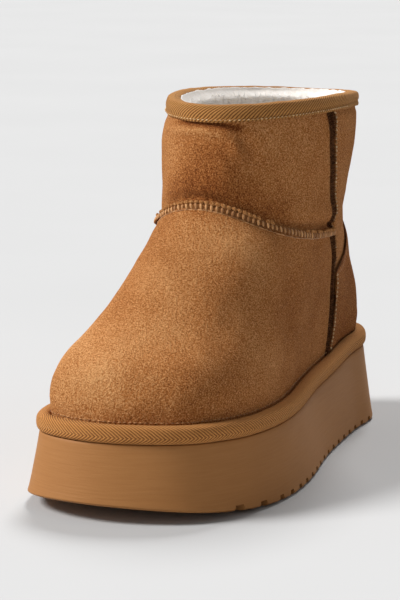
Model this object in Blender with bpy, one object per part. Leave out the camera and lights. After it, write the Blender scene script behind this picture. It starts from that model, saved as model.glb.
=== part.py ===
"""A left sheepskin ankle boot on a flared platform sole, as an assembly of its separate pieces.

Units are metres and +Z is up. The toe points to -Y, the outer side of the foot is +X, and the
origin is on the floor in the middle of the boot's length and width.
"""

import bisect
import math
from collections import namedtuple

import bmesh
import bpy
from mathutils import Vector

MM = 0.001

# Sole, measured on the floor and up from it
SOLE_LENGTH = 272 * MM
BALL_WIDTH = 112 * MM
WAIST_WIDTH = 85 * MM
HEEL_WIDTH = 78 * MM
HEEL_RISE = 40.5 * MM
WAIST_RISE = 36.4 * MM
BALL_RISE = 33.8 * MM
TOE_RISE = 36 * MM
TOE_SPRING = 8 * MM
SPRING_LENGTH = 84 * MM
SIDE_FLARE = 6.6 * MM
WAIST_FLARE = 5 * MM
END_FLARE = 5.4 * MM
SOLE_LIP = 2 * MM

# Tread grooves, cut up into the floor face
GROOVE_HEIGHT = 3.2 * MM
TOE_GROOVE = 4.4 * MM
TOE_PITCH = 15.6 * MM
TOE_GROOVES = 2
GROOVE = 3.2 * MM
GROOVE_PITCH = 10.9 * MM
GROOVE_SPLAY = 0.8 * MM
TREAD_FROM_TOE = 39.3 * MM
TREAD_FROM_HEEL = 34 * MM

# Covered band between the sole and the upper
BAND_HEIGHT = 8.5 * MM
BAND_DEPTH = 7.2 * MM
BAND_PROUD = 1.2 * MM
BAND_ROUND = 2.6 * MM

# Upper: wall of the hide with the base of its wool, the collar's height off the floor at the front,
# how far it drops to the back and how far it arches up at the sides
WALL = 4 * MM
COLLAR_HEIGHT = 179 * MM
COLLAR_DROP = 3.3 * MM
COLLAR_ARCH = 2.6 * MM
COLLAR_LENGTH = 137.7 * MM
COLLAR_WIDTH = 82.6 * MM
ANKLE_WIDTH = 80 * MM

# Seams in the upper
SIDE_SEAM_WIDTH = 3.4 * MM
SIDE_SEAM_DEPTH = 1.3 * MM
INSTEP_TUCK = 0.9 * MM
RIDGE_WIDTH = 4.4 * MM
RIDGE_HEIGHT = 1.8 * MM

# Pieces laid on the upper and inside it
COUNTER_THICKNESS = 1.4 * MM
BINDING_THICKNESS = 1 * MM
BINDING_OUTSIDE = 8 * MM
BINDING_INSIDE = 6 * MM
INSOLE_THICKNESS = 5 * MM

CLEARANCE = 0.3 * MM

# How finely the curved faces are divided
OUTLINE_STEPS = 360
BACK_STEPS = 11
FRONT_STEPS = 20
LOW_ROWS = 12
HIGH_ROWS = 6
BOUND_ROWS = 2

# The sole's outline on the floor, once round from the heel by the outer side.
# along: share of the sole's length from the heel. across: share of half the named width, outer side positive.
Spot = namedtuple("Spot", "along across width")
OUTLINE = (
    Spot(0.000, 0.00, HEEL_WIDTH),
    Spot(0.035, 0.60, HEEL_WIDTH),
    Spot(0.110, 0.93, HEEL_WIDTH),
    Spot(0.210, 0.97, HEEL_WIDTH),
    Spot(0.420, 1.06, WAIST_WIDTH),
    Spot(0.600, 0.99, BALL_WIDTH),
    Spot(0.720, 1.03, BALL_WIDTH),
    Spot(0.840, 0.92, BALL_WIDTH),
    Spot(0.940, 0.60, BALL_WIDTH),
    Spot(1.000, -0.18, BALL_WIDTH),
    Spot(0.965, -0.77, BALL_WIDTH),
    Spot(0.880, -0.97, BALL_WIDTH),
    Spot(0.750, -1.00, BALL_WIDTH),
    Spot(0.620, -0.95, BALL_WIDTH),
    Spot(0.420, -0.86, WAIST_WIDTH),
    Spot(0.210, -1.00, HEEL_WIDTH),
    Spot(0.110, -0.93, HEEL_WIDTH),
    Spot(0.035, -0.60, HEEL_WIDTH),
)

# The sole's side along its length. along: share of the length from the heel. rise: height of the top.
# flare: how far the top edge is in from the floor edge.
Height = namedtuple("Height", "along rise flare")
HEIGHTS = (
    Height(0.00, HEEL_RISE, END_FLARE),
    Height(0.13, HEEL_RISE, END_FLARE),
    Height(0.31, WAIST_RISE, WAIST_FLARE),
    Height(0.52, BALL_RISE, SIDE_FLARE),
    Height(0.76, BALL_RISE, SIDE_FLARE),
    Height(0.88, (BALL_RISE + TOE_RISE) / 2, (SIDE_FLARE + END_FLARE) / 2),
    Height(1.00, TOE_RISE, END_FLARE),
)

# Sections of the upper, from the edge of the band to the collar. Each is a closed ring that leans
# from its front point to its back point.
# front_back, front_up: share of the way from the band's toe to the collar's front edge.
# back_in: share of the sole's length in from the band's heel. back_up: share of the way to the collar's back.
# foot, ankle, collar: how much the ring takes of each of those widths.
# oval: 0 for the outline of the foot, 1 for the oval of the collar.
# seam: where the side seam crosses, as a share of the way round from the heel.
Section = namedtuple("Section", "front_back front_up back_in back_up foot ankle collar oval seam")
SECTIONS = (
    Section(0.000, 0.000, 0.000, 0.000, 1.00, 0.00, 0.00, 0.00, 0.152),
    Section(0.010, 0.085, -0.004, 0.075, 1.04, 0.00, 0.00, 0.02, 0.153),
    Section(0.111, 0.185, 0.001, 0.155, 1.02, 0.00, 0.00, 0.11, 0.154),
    Section(0.309, 0.280, 0.016, 0.270, 0.72, 0.25, 0.00, 0.32, 0.159),
    Section(0.521, 0.402, 0.043, 0.420, 0.37, 0.59, 0.00, 0.62, 0.182),
    Section(0.720, 0.507, 0.072, 0.560, 0.12, 0.86, 0.00, 0.86, 0.212),
    Section(0.899, 0.624, 0.079, 0.700, 0.00, 1.00, 0.00, 0.98, 0.238),
    Section(0.945, 0.800, 0.066, 0.845, 0.00, 0.50, 0.55, 1.00, 0.260),
    Section(1.000, 1.000, 0.058, 1.000, 0.00, 0.00, 1.00, 1.00, 0.281),
)

# The seam over the instep. round: share of the way from the side seam to the toe line.
# section: how far up the sections it runs there. The last row mirrors the one before the toe line.
InstepSpot = namedtuple("InstepSpot", "round section")
INSTEP_SEAM = (
    InstepSpot(0.00, 4.60),
    InstepSpot(0.25, 4.96),
    InstepSpot(0.50, 5.52),
    InstepSpot(0.75, 6.02),
    InstepSpot(1.00, 6.20),
    InstepSpot(1.25, 6.02),
)

# The heel counter's top edge. round: share of the way from the side seam to the heel line.
CounterSpot = namedtuple("CounterSpot", "round section")
COUNTER_EDGE = (
    CounterSpot(0.00, 3.25),
    CounterSpot(0.35, 3.55),
    CounterSpot(0.70, 4.55),
    CounterSpot(1.00, 5.05),
    CounterSpot(1.30, 4.55),
)
COUNTER_ROWS = 16

# colour as red, green and blue, roughness
SUEDE = (0.47, 0.24, 0.085), 0.92
RAW_EDGE = (0.36, 0.18, 0.07), 0.95
TAPE = (0.43, 0.24, 0.08), 0.85
FOAM = (0.42, 0.23, 0.11), 0.70
WOOL = (0.86, 0.83, 0.78), 0.98


def between(first, second, share):
    return first + (second - first) * share


def eased(share):
    """A share that leaves 0 and reaches 1 without a corner."""
    return share * share * (3 - 2 * share)


def smooth_value(keys, values, place):
    """The value at a place on the smooth curve through values that stand at keys."""
    last = len(keys) - 1
    start = min(max(bisect.bisect_right(keys, place) - 1, 0), last - 1)
    gap = keys[start + 1] - keys[start]
    turns = []
    for index in (start, start + 1):
        low, high = max(index - 1, 0), min(index + 1, last)
        turns.append((values[high] - values[low]) / (keys[high] - keys[low]) * gap)
    share = min(max((place - keys[start]) / gap, 0), 1)
    straight = between(values[start], values[start + 1], eased(share))
    return straight + turns[0] * share * (1 - share) ** 2 - turns[1] * share**2 * (1 - share)


def table_value(rows, key, column, place):
    """A column of a table, read smoothly at a place in its key column."""
    return smooth_value([getattr(row, key) for row in rows], [getattr(row, column) for row in rows], place)


def section_value(column, section):
    return smooth_value(range(len(SECTIONS)), [getattr(row, column) for row in SECTIONS], section)


def closed_curve(points, steps):
    """Points at equal steps along the smooth closed curve through the given ones, from the first."""
    count = len(points)
    fine = []
    for index in range(count):
        around = [points[(index + shift) % count] for shift in (-1, 0, 1, 2)]
        gaps = [math.sqrt((b - a).length) for a, b in zip(around, around[1:])]
        turn_in = ((around[1] - around[0]) / gaps[0] - (around[2] - around[0]) / (gaps[0] + gaps[1])
                   + (around[2] - around[1]) / gaps[1]) * gaps[1]
        turn_out = ((around[2] - around[1]) / gaps[1] - (around[3] - around[1]) / (gaps[1] + gaps[2])
                    + (around[3] - around[2]) / gaps[2]) * gaps[1]
        for step in range(24):
            share = step / 24
            rise = eased(share)
            fine.append(around[1] * (1 - rise) + around[2] * rise
                        + turn_in * share * (1 - share) ** 2 - turn_out * share**2 * (1 - share))
    fine.append(fine[0])
    lengths = [0.0]
    for first, second in zip(fine, fine[1:]):
        lengths.append(lengths[-1] + (second - first).length)
    found = []
    for step in range(steps):
        wanted = lengths[-1] * step / steps
        index = min(bisect.bisect_right(lengths, wanted) - 1, len(fine) - 2)
        share = (wanted - lengths[index]) / (lengths[index + 1] - lengths[index])
        found.append(fine[index].lerp(fine[index + 1], share))
    return found


def middle(values):
    return (min(values) + max(values)) / 2


def floor_outline():
    """The sole's outline on the floor, centred on the origin."""
    spots = [Vector((s.across * s.width / 2, SOLE_LENGTH * (0.5 - s.along))) for s in OUTLINE]
    ring = closed_curve(spots, OUTLINE_STEPS)
    centre = Vector((middle([p.x for p in ring]), middle([p.y for p in ring])))
    return [p - centre for p in ring]


FLOOR = floor_outline()


def share_along(point):
    """Where a point lies along the sole, from 0 at the heel to 1 at the toe."""
    return 0.5 - point.y / SOLE_LENGTH


def outward(ring, index):
    """The level direction out of the ring at one of its points."""
    along = ring[(index + 1) % len(ring)] - ring[index - 1]
    return Vector((-along.y, along.x)).normalized()


def moved_in(ring, inset):
    """The ring with each point moved in by inset, a function of the point."""
    return [point - outward(ring, index) * inset(point) for index, point in enumerate(ring)]


def point_at(ring, turn):
    """The point at a share of the way round a fine ring."""
    place = (turn % 1) * len(ring)
    index = int(place) % len(ring)
    return ring[index].lerp(ring[(index + 1) % len(ring)], place - int(place))


def sole_top(share):
    return table_value(HEIGHTS, "along", "rise", share)


def floor_lift(share):
    """How far the toe spring lifts the sole's underside, from nothing behind the ball to all at the tip."""
    reach = max(0.0, 1 - (1 - share) * SOLE_LENGTH / SPRING_LENGTH)
    return TOE_SPRING * reach**2


def flare(share):
    return table_value(HEIGHTS, "along", "flare", share)


def inset_ring(inset):
    """The floor outline moved in by the flare and then by inset more."""
    return moved_in(FLOOR, lambda point: flare(share_along(point)) + inset)


def over_sole(point, height):
    """A point of the plan in space, at a height over the sole's top face."""
    return Vector((point.x, point.y, sole_top(share_along(point)) + height))


# The line where the upper leaves the band
FOOT_PLAN = inset_ring(BAND_DEPTH - BAND_PROUD)
FOOT = [over_sole(point, BAND_HEIGHT) for point in FOOT_PLAN]


def material(name, finish):
    colour, roughness = finish
    made = bpy.data.materials.new(name)
    made.diffuse_color = (*colour, 1)
    made.use_nodes = True
    shader = made.node_tree.nodes["Principled BSDF"]
    shader.inputs["Base Color"].default_value = (*colour, 1)
    shader.inputs["Roughness"].default_value = roughness
    shader.inputs["Metallic"].default_value = 0
    return made


def add_object(name, bm, finish):
    """Turns a bmesh into a smooth-shaded object with its own material."""
    bmesh.ops.recalc_face_normals(bm, faces=bm.faces)
    mesh = bpy.data.meshes.new(name)
    bm.to_mesh(mesh)
    bm.free()
    mesh.shade_smooth()
    mesh.set_sharp_from_angle(angle=math.radians(40))
    made = bpy.data.objects.new(name, mesh)
    bpy.context.scene.collection.objects.link(made)
    mesh.materials.append(material(name + "_finish", finish))
    return made


def add_rings(bm, rings):
    return [[bm.verts.new(point) for point in ring] for ring in rings]


def skin_between(bm, rings, closed_round=True, closed_over=False):
    """Faces between neighbouring rings of vertices."""
    pairs = list(zip(rings, rings[1:]))
    if closed_over:
        pairs.append((rings[-1], rings[0]))
    for low, high in pairs:
        count = len(low)
        for index in range(count if closed_round else count - 1):
            after = (index + 1) % count
            bm.faces.new((low[index], low[after], high[after], high[index]))


def ladder_cap(bm, ring):
    """Closes a ring that starts at the heel line with rungs from its outer to its inner side."""
    count = len(ring)
    half = count // 2
    bm.faces.new((ring[0], ring[1], ring[-1]))
    for index in range(1, half - 1):
        bm.faces.new((ring[index], ring[index + 1], ring[count - index - 1], ring[count - index]))
    bm.faces.new((ring[half - 1], ring[half], ring[half + 1]))


def slab(name, rings, finish):
    """A solid from a stack of rings, closed below and above."""
    bm = bmesh.new()
    placed = add_rings(bm, rings)
    skin_between(bm, placed)
    ladder_cap(bm, placed[0])
    ladder_cap(bm, placed[-1])
    return add_object(name, bm, finish)


def floor_ring(inset, height):
    """A ring of the sole's side near the floor, lifted with the toe spring."""
    fine = moved_in(FLOOR, lambda point: inset)
    ring = [point_at(fine, turn) for turn in FOOT_TURNS]
    return [Vector((p.x, p.y, floor_lift(share_along(p)) + height)) for p in ring]


def top_ring(inset, height):
    """A ring over the sole's top face, in from its edge by inset."""
    fine = inset_ring(inset)
    return [over_sole(point_at(fine, turn), height) for turn in FOOT_TURNS]


def groove_places():
    """Where each tread groove's middle lies along Y, with its width, from the toe back."""
    place = TREAD_FROM_TOE - SOLE_LENGTH / 2
    found = []
    for _ in range(TOE_GROOVES):
        found.append((place, TOE_GROOVE))
        place += TOE_PITCH
    while place < SOLE_LENGTH / 2 - TREAD_FROM_HEEL:
        found.append((place, GROOVE))
        place += GROOVE_PITCH
    return found


def tread_cutter():
    """A row of bars, wider at the floor, that cut the tread grooves from side to side."""
    bm = bmesh.new()
    reach = BALL_WIDTH
    for place, width in groove_places():
        lift = floor_lift(share_along(Vector((0, place))))
        half_top, half_foot = width / 2, width / 2 + GROOVE_SPLAY
        below = lift - GROOVE_HEIGHT
        profile = ((-half_foot, below), (-half_foot, lift), (-half_top, lift + GROOVE_HEIGHT),
                   (half_top, lift + GROOVE_HEIGHT), (half_foot, lift), (half_foot, below))
        start = [bm.verts.new((-reach, place + y, z)) for y, z in profile]
        face = bm.faces.new(start)
        moved = bmesh.ops.extrude_face_region(bm, geom=[face])["geom"]
        end = [item for item in moved if isinstance(item, bmesh.types.BMVert)]
        bmesh.ops.translate(bm, vec=(2 * reach, 0, 0), verts=end)
    cutter = add_object("tread_cutter", bm, FOAM)
    cutter.hide_render = True
    cutter.display_type = "WIRE"
    return cutter


def build_sole():
    lip, top = floor_ring(0, SOLE_LIP), top_ring(0, 0)
    over_grooves = [low.lerp(high, GROOVE_HEIGHT / (high.z - low.z)) for low, high in zip(lip, top)]
    rings = [
        floor_ring(SOLE_LIP, 0),
        floor_ring(SOLE_LIP * 0.3, SOLE_LIP * 0.3),
        lip,
        over_grooves,
        top,
    ]
    sole = slab("platform_sole", rings, FOAM)
    cut = sole.modifiers.new("tread", "BOOLEAN")
    cut.operation = "DIFFERENCE"
    cut.object = tread_cutter()


def build_band():
    """The covered band: a ring with a rounded section that stands a little proud of the sole."""
    turn, top = BAND_ROUND, BAND_HEIGHT
    section = (
        (turn, CLEARANCE),
        (turn * 0.3, CLEARANCE + turn * 0.3),
        (0, CLEARANCE + turn),
        (0, top - turn),
        (turn * 0.3, top - turn * 0.3),
        (turn, top),
    )
    rings = [top_ring(inset - BAND_PROUD, height) for inset, height in section]
    for height in (top - CLEARANCE, CLEARANCE):
        rings.append([skirt_point(column, -CLEARANCE, height) for column in PLAIN_COLUMNS])
    bm = bmesh.new()
    skin_between(bm, add_rings(bm, rings), closed_over=True)
    add_object("covered_band", bm, TAPE)


def build_insole():
    inset = WALL + CLEARANCE
    edge = INSOLE_THICKNESS * 0.3
    section = ((inset, CLEARANCE), (inset, INSOLE_THICKNESS - edge), (inset + edge, INSOLE_THICKNESS))
    rings = [[skirt_point(column, inward, height) for column in PLAIN_COLUMNS] for inward, height in section]
    slab("insole", rings, WOOL)


# The upper

FOOT_FRONT = min(FOOT, key=lambda p: p.y)
FOOT_BACK = max(FOOT, key=lambda p: p.y)
FOOT_OUTER = max(p.x for p in FOOT)
FOOT_INNER = -min(p.x for p in FOOT)
COLLAR = len(SECTIONS) - 1
COLLAR_BACK_Y = FOOT_BACK.y - SECTIONS[-1].back_in * SOLE_LENGTH
COLLAR_FRONT_Y = COLLAR_BACK_Y - COLLAR_LENGTH


def ring_point(turn, section):
    """A point of one of the upper's rings. turn runs from the heel by the outer side to the heel again."""
    front_y = between(FOOT_FRONT.y, COLLAR_FRONT_Y, section_value("front_back", section))
    front_z = between(FOOT_FRONT.z, COLLAR_HEIGHT, section_value("front_up", section))
    back_y = FOOT_BACK.y - section_value("back_in", section) * SOLE_LENGTH
    back_z = between(FOOT_BACK.z, COLLAR_HEIGHT - COLLAR_DROP, section_value("back_up", section))
    foot = point_at(FOOT, turn)
    foot_along = (foot.y - FOOT_BACK.y) / (FOOT_FRONT.y - FOOT_BACK.y)
    foot_half = FOOT_OUTER if foot.x > 0 else FOOT_INNER
    oval = section_value("oval", section)
    along = between(foot_along, (1 - math.cos(math.tau * turn)) / 2, oval)
    across = between(foot.x / foot_half, math.sin(math.tau * turn), oval)
    half = (section_value("foot", section) * foot_half + section_value("ankle", section) * ANKLE_WIDTH / 2
            + section_value("collar", section) * COLLAR_WIDTH / 2)
    sag = foot.z - between(FOOT_BACK.z, FOOT_FRONT.z, foot_along)
    settle = max(0.0, 1 - section / 4) ** 2
    arch = COLLAR_ARCH * 4 * along * (1 - along) * section_value("collar", section)
    level = between(back_z, front_z, along) + arch
    return Vector((across * half, between(back_y, front_y, along), level + sag * settle))


def seam_turn(section):
    return section_value("seam", section)


def instep_section(round_share):
    return table_value(INSTEP_SEAM, "round", "section", min(max(round_share, 0), 1))


# A column of the upper is (side, panel, round): side is 1 outside and -1 inside, panel is "back"
# or "front", and round is the share from the side seam to the heel line or the toe line.
Column = namedtuple("Column", "side panel round shift")


def column_turn(column, section):
    seam = seam_turn(section)
    end = 0.0 if column.panel == "back" else 0.5
    turn = between(seam, end, column.round)
    return turn if column.side > 0 else 1 - turn


def under_collar(column, drop):
    """The section that lies a drop under the collar's edge in a column."""
    wanted = ring_point(column_turn(column, COLLAR), COLLAR).z - drop
    low, high = 0, COLLAR
    for _ in range(16):
        tried = (low + high) / 2
        if ring_point(column_turn(column, tried), tried).z < wanted:
            low = tried
        else:
            high = tried
    return high


def row_section(column, row):
    """The section a row reaches in a column. Row 1 is the instep seam, 2 the binding's foot, 3 the collar."""
    crossing = instep_section(column.round) if column.panel == "front" else INSTEP_SEAM[0].section
    bound = under_collar(column, BINDING_OUTSIDE)
    if row <= 1:
        return crossing * row
    if row <= 2:
        return between(crossing, bound, row - 1)
    return between(bound, COLLAR, row - 2)


def surface(column, section):
    """A point of the upper's outer face, with the outward and the upward direction there."""
    turn = column_turn(column, section)
    step = 0.004
    point = ring_point(turn, section)
    low, high = max(section - 0.04, 0), min(section + 0.04, COLLAR)
    round_way = (ring_point(turn + step, section) - ring_point(turn - step, section)).normalized()
    up = (ring_point(turn, high) - ring_point(turn, low)).normalized()
    out = up.cross(round_way).normalized()
    if out.dot(point - ring_centre(section)) < 0:
        out.negate()
    heel_to_toe = round_way * (1 if column.side > 0 else -1)
    return point + heel_to_toe * column.shift, out, up


def ring_centre(section):
    return (ring_point(0, section) + ring_point(0.5, section)) / 2


def upper_point(column, section, offset=0.0, lift=0.0):
    point, out, up = surface(column, section)
    return point + out * offset + up * lift


def side_columns(side):
    """Columns of one side, from the heel line forward to the toe line, without the two lines."""
    half, slope = SIDE_SEAM_WIDTH / 2, SIDE_SEAM_DEPTH / 2
    back = [Column(side, "back", 1 - step / BACK_STEPS, 0.0) for step in range(1, BACK_STEPS)]
    seam = [Column(side, "back" if shift < 0 else "front", 0.0, shift)
            for shift in (-half - slope, -half, half, half + slope)]
    front = [Column(side, "front", step / FRONT_STEPS, 0.0) for step in range(1, FRONT_STEPS)]
    return back + seam + front


def all_columns():
    heel, toe = Column(1, "back", 1.0, 0.0), Column(1, "front", 1.0, 0.0)
    return [heel, *side_columns(1), toe, *reversed(side_columns(-1))]


def in_groove(column):
    return column.round == 0 and abs(column.shift) < SIDE_SEAM_WIDTH / 2 + SIDE_SEAM_DEPTH / 4


COLUMNS = all_columns()
PLAIN_COLUMNS = [column for column in COLUMNS if not in_groove(column)]
FOOT_TURNS = [column_turn(column, 0) for column in PLAIN_COLUMNS]


def skirt_point(column, inset, height):
    """A point of the upper's edge behind the band, straight under its first ring."""
    point, out, _ = surface(column, 0)
    level = Vector((out.x, out.y, 0)).normalized()
    place = point - level * inset
    return Vector((place.x, place.y, sole_top(share_along(place)) + height))


def upper_rows(low_steps, high_steps):
    """Rows from the band up to the collar, in steps to the instep seam, to the binding and over it."""
    rows = [step / low_steps for step in range(low_steps)]
    rows += [1 + step / high_steps for step in range(high_steps)]
    return rows + [2 + step / BOUND_ROWS for step in range(BOUND_ROWS + 1)]


def outer_rings():
    """Rings of the upper's outer face, from the sole to the collar, with its seams pressed in."""
    rings = [[skirt_point(column, 0, CLEARANCE) for column in COLUMNS]]
    for row in upper_rows(LOW_ROWS, HIGH_ROWS):
        ring = []
        for column in COLUMNS:
            section = row_section(column, row)
            press = 0.0
            if in_groove(column) and 0 < row < 2:
                press = SIDE_SEAM_DEPTH
            elif row == 1 and column.panel == "front" and column.round > 0:
                press = INSTEP_TUCK
            ring.append(upper_point(column, section, -press))
        rings.append(ring)
    return rings


def inner_rings():
    """Rings of the upper's inner face, from the sole to the collar."""
    rings = [[skirt_point(column, WALL, CLEARANCE) for column in COLUMNS]]
    rings.append([skirt_point(column, WALL, BAND_HEIGHT) for column in COLUMNS])
    for row in upper_rows(LOW_ROWS // 2, HIGH_ROWS // 2)[1:]:
        rings.append([upper_point(column, row_section(column, row), -WALL) for column in COLUMNS])
    return rings


def build_upper():
    bm = bmesh.new()
    outer = add_rings(bm, outer_rings())
    inner = add_rings(bm, inner_rings())
    skin_between(bm, outer + list(reversed(inner)), closed_over=True)
    add_object("upper", bm, SUEDE)


def build_counter():
    """The heel counter: a patch on the back panel with a top edge that rises to the heel line."""
    foot = 2 * CLEARANCE / (ring_point(0, 1).z - ring_point(0, 0).z)
    heel = [c for c in COLUMNS if c.panel == "back" and not in_groove(c)]
    outer_side = [c for c in heel if c.side > 0]
    inner_side = [c for c in heel if c.side < 0]
    columns = list(reversed(outer_side)) + list(reversed(inner_side))
    near, far = CLEARANCE, CLEARANCE + COUNTER_THICKNESS
    sheets = []
    for offset, edge in ((near, near), (far, between(near, far, 0.5))):
        sheet = []
        for step in range(COUNTER_ROWS + 1):
            row = []
            for column in columns:
                top = table_value(COUNTER_EDGE, "round", "section", column.round)
                section = between(foot, top, step / COUNTER_ROWS)
                row.append(upper_point(column, section, edge if step == COUNTER_ROWS else offset))
            sheet.append(row)
        sheets.append(sheet)
    bm = bmesh.new()
    inside, outside = (add_rings(bm, sheet) for sheet in sheets)
    skin_between(bm, inside, closed_round=False)
    skin_between(bm, outside, closed_round=False)
    for rows in ((inside[0], outside[0]), (inside[-1], outside[-1])):
        skin_between(bm, rows, closed_round=False)
    for end in (0, -1):
        skin_between(bm, ([row[end] for row in inside], [row[end] for row in outside]), closed_round=False)
    add_object("heel_counter", bm, SUEDE)


def build_ridge():
    """The raised seam over the instep, from one side seam to the other."""
    half, low = RIDGE_WIDTH / 2, CLEARANCE
    section = ((-half, low), (-half * 0.9, RIDGE_HEIGHT * 0.6), (-half * 0.4, RIDGE_HEIGHT),
               (half * 0.4, RIDGE_HEIGHT), (half * 0.9, RIDGE_HEIGHT * 0.6), (half, low))
    columns = [c for c in COLUMNS if c.panel == "front" and not in_groove(c)]
    rings = []
    for column in columns:
        crossing = row_section(column, 1)
        rings.append([upper_point(column, crossing, out, up) for up, out in section])
    bm = bmesh.new()
    placed = add_rings(bm, rings)
    skin_between(bm, placed)
    bm.faces.new(placed[0])
    bm.faces.new(placed[-1])
    add_object("instep_seam", bm, RAW_EDGE)


def build_binding():
    """The tape folded over the collar: outside leg, top and inside leg in one ring."""
    near, far = CLEARANCE, CLEARANCE + BINDING_THICKNESS
    corner = far - BINDING_THICKNESS / 2
    # How far under the collar, how far out from the upper's outer face, how far up from the collar
    profile = (
        (BINDING_OUTSIDE, near, 0),
        (BINDING_OUTSIDE, far, 0),
        (BINDING_OUTSIDE / 2, far, 0),
        (0, far, -far / 2),
        (0, corner, corner * 0.9),
        (0, -WALL / 2, far),
        (0, -WALL - corner, corner * 0.9),
        (0, -WALL - far, -far / 2),
        (BINDING_INSIDE, -WALL - far, 0),
        (BINDING_INSIDE, -WALL - near, 0),
        (0, -WALL - near, near),
        (0, near, near),
        (BINDING_OUTSIDE / 2, near, 0),
    )
    rings = []
    for drop, offset, lift in profile:
        rings.append([upper_point(column, under_collar(column, drop), offset, lift) for column in COLUMNS])
    bm = bmesh.new()
    skin_between(bm, add_rings(bm, rings), closed_over=True)
    add_object("collar_binding", bm, TAPE)


def main():
    for item in list(bpy.data.objects):
        bpy.data.objects.remove(item)
    build_sole()
    build_band()
    build_insole()
    build_upper()
    build_counter()
    build_ridge()
    build_binding()


main()
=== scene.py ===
import bisect
import math
import random

import bmesh
import bpy
import numpy as np
from mathutils import Matrix, Vector, noise
from mathutils.bvhtree import BVHTree


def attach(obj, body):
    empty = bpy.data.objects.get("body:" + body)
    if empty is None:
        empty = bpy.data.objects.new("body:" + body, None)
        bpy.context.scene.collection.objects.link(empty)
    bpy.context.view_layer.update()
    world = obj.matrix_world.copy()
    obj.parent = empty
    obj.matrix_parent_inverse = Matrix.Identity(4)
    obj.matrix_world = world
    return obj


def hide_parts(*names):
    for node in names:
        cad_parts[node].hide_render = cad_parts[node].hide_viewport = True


# Sheepskin ankle boot on a platform sole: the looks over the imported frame.
# Units are metres; the tables below are in millimetres, as measured on the shoe.

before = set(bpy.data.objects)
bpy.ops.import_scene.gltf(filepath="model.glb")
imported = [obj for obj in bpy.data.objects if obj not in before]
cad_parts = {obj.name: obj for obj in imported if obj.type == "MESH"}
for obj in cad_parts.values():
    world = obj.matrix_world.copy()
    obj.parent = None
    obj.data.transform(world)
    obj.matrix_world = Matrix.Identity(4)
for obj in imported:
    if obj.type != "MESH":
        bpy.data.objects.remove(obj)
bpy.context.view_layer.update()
scene = bpy.context.scene
mm = 0.001
print("frame loaded")


# helpers

def hexColour(code):  # sRGB hex to linear, with alpha
    parts = [int(code[i:i + 2], 16) / 255 for i in (0, 2, 4)]
    return tuple(p / 12.92 if p <= 0.04045 else ((p + 0.055) / 1.055) ** 2.4 for p in parts) + (1.0,)


def addNode(tree, kind, inputs, stops=(), **settings):
    # a node with its settings; an input gets a value, or a link from a socket or a node's first output
    node = tree.nodes.new("ShaderNode" + kind)
    for key, value in settings.items():
        setattr(node, key, value)
    for key, value in inputs.items():
        if isinstance(value, bpy.types.Node):
            value = value.outputs[0]
        if isinstance(value, bpy.types.NodeSocket):
            tree.links.new(value, node.inputs[key])
        else:
            node.inputs[key].default_value = value
    if stops:  # places and colours of a ramp
        elements = node.color_ramp.elements
        for place, _ in stops[2:]:
            elements.new(place)
        for element, (place, colour) in zip(elements, stops):
            element.position = place
            element.color = hexColour(colour)
    return node


def newMaterial(name, roughness, sheen=0.0, sheenTint="FFFFFF", sheenRoughness=0.5, specular=0.3):
    material = bpy.data.materials.new(name)
    material.use_nodes = True
    tree = material.node_tree
    shader = tree.nodes["Principled BSDF"]
    shader.inputs["Roughness"].default_value = roughness
    shader.inputs["Sheen Weight"].default_value = sheen
    shader.inputs["Sheen Tint"].default_value = hexColour(sheenTint)
    shader.inputs["Sheen Roughness"].default_value = sheenRoughness
    shader.inputs["Specular IOR Level"].default_value = specular
    shader.inputs["IOR"].default_value = 1.5  # hide, wool, cotton and foam alike
    place = addNode(tree, "TexCoord", {}).outputs["Object"]
    return material, tree, shader, place


def finishSurface(tree, shader, colour, height, strength, depth):  # the colour and the relief onto the shader
    relief = addNode(tree, "Bump", {"Height": height, "Strength": strength, "Distance": depth})
    tree.links.new(colour, shader.inputs["Base Color"])
    tree.links.new(relief.outputs["Normal"], shader.inputs["Normal"])


def copiedNode(name):  # a CAD node's mesh with its doubles merged and its triangles joined
    bm = bmesh.new()
    bm.from_mesh(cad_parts[name].data)
    bmesh.ops.remove_doubles(bm, verts=bm.verts, dist=1e-6)
    bmesh.ops.join_triangles(bm, faces=bm.faces, angle_face_threshold=0.8, angle_shape_threshold=3.1)
    return bm


def refined(bm, levels, keep=0.85):  # Catmull-Clark by Blender's own modifier, made real
    made = subdivided(bm, levels)
    made.verts.ensure_lookup_table()
    # smoothing draws the form in, so it starts wider
    drift = [(v.co - made.verts[v.index].co) * keep for v in bm.verts]
    made.free()
    for vert, move in zip(bm.verts, drift):
        if move.length < 1.5 * mm:
            vert.co += move
    made = subdivided(bm, levels)
    bm.free()
    return made


def subdivided(bm, levels):
    bm.verts.index_update()
    mesh = bpy.data.meshes.new("refined")
    bm.to_mesh(mesh)
    holder = bpy.data.objects.new("refined", mesh)
    scene.collection.objects.link(holder)
    finer = holder.modifiers.new("finer", "SUBSURF")
    finer.levels = finer.render_levels = levels
    made = evaluated(holder)
    bpy.data.objects.remove(holder)
    return made


def evaluated(holder):  # a bmesh of an object with its modifiers applied
    graph = bpy.context.evaluated_depsgraph_get()
    mesh = bpy.data.meshes.new_from_object(holder.evaluated_get(graph))
    bm = bmesh.new()
    bm.from_mesh(mesh)
    bpy.data.meshes.remove(mesh)
    return bm


def finishPiece(name, bm, material, replaces=(), sharpAngle=None):
    mesh = bpy.data.meshes.new(name)
    bm.to_mesh(mesh)
    bm.free()
    settlePiece(name, mesh, material, replaces, sharpAngle)


def settlePiece(name, mesh, material, replaces=(), sharpAngle=None):
    mesh.shade_smooth()
    if sharpAngle:
        mesh.set_sharp_from_angle(angle=math.radians(sharpAngle))
    mesh.materials.clear()
    mesh.materials.append(material)
    piece = bpy.data.objects.new(name, mesh)
    scene.collection.objects.link(piece)
    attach(piece, "root")
    if replaces:
        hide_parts(*replaces)
    print(name, len(mesh.polygons), "faces")


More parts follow.
